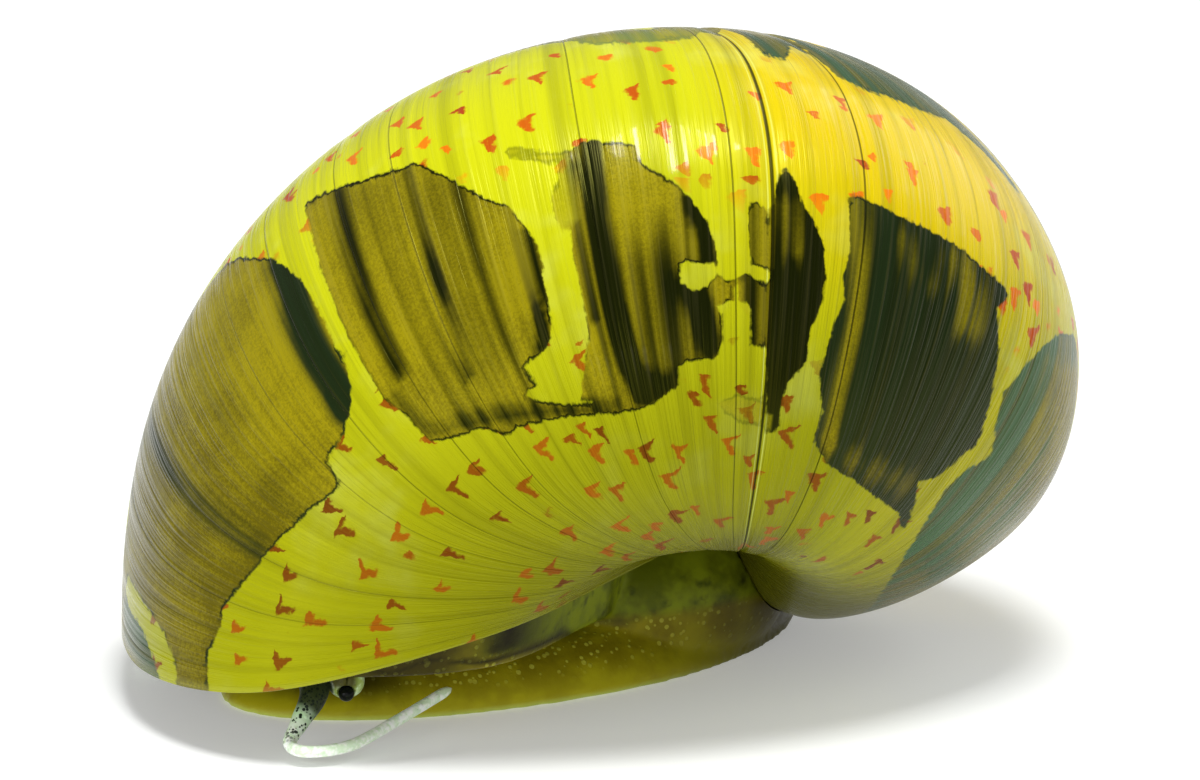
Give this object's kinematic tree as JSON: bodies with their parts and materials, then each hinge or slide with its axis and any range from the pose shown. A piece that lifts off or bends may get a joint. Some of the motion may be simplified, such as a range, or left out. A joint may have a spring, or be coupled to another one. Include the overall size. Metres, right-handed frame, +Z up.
{
  "type": "nerite snail",
  "caption": "Crawling nerite snail with a low-spired globular shell, oval foot, stalked eyes and long feelers; still life-size display model.",
  "frame": {"origin": "on the sole's plane, under the middle of the foot's middle length", "axes": "+X runs from the head to the tail, -Y is the animal's left side, +Z is up from the sole"},
  "size_m": [0.0248, 0.02, 0.0161],
  "materials": {
    "shell": "glossy, lime yellow with dark olive patches and red-brown chevrons",
    "mantle": "moist, mottled olive green",
    "operculum": "satin, dark brown",
    "head": "moist, dark olive",
    "foot": "moist, brown olive with a pale margin",
    "eye_stalk": "moist, pale green white",
    "eye": "glossy black",
    "tentacle": "moist, pale with fine dark dots, browner at the root"
  },
  "bodies": {
    "root": {"shell": "shell", "mantle": "mantle", "operculum": "operculum", "head": "head", "snout": "head", "foot_front": "foot", "foot_middle": "foot", "foot_tail": "foot", "eye_stalk_left": "eye_stalk", "eye_left": "eye", "tentacle_left_base": "tentacle", "tentacle_left_middle": "tentacle", "tentacle_left_tip": "tentacle", "eye_stalk_right": "eye_stalk", "eye_right": "eye", "tentacle_right_base": "tentacle", "tentacle_right_middle": "tentacle", "tentacle_right_tip": "tentacle"}
  },
  "joints": []
}
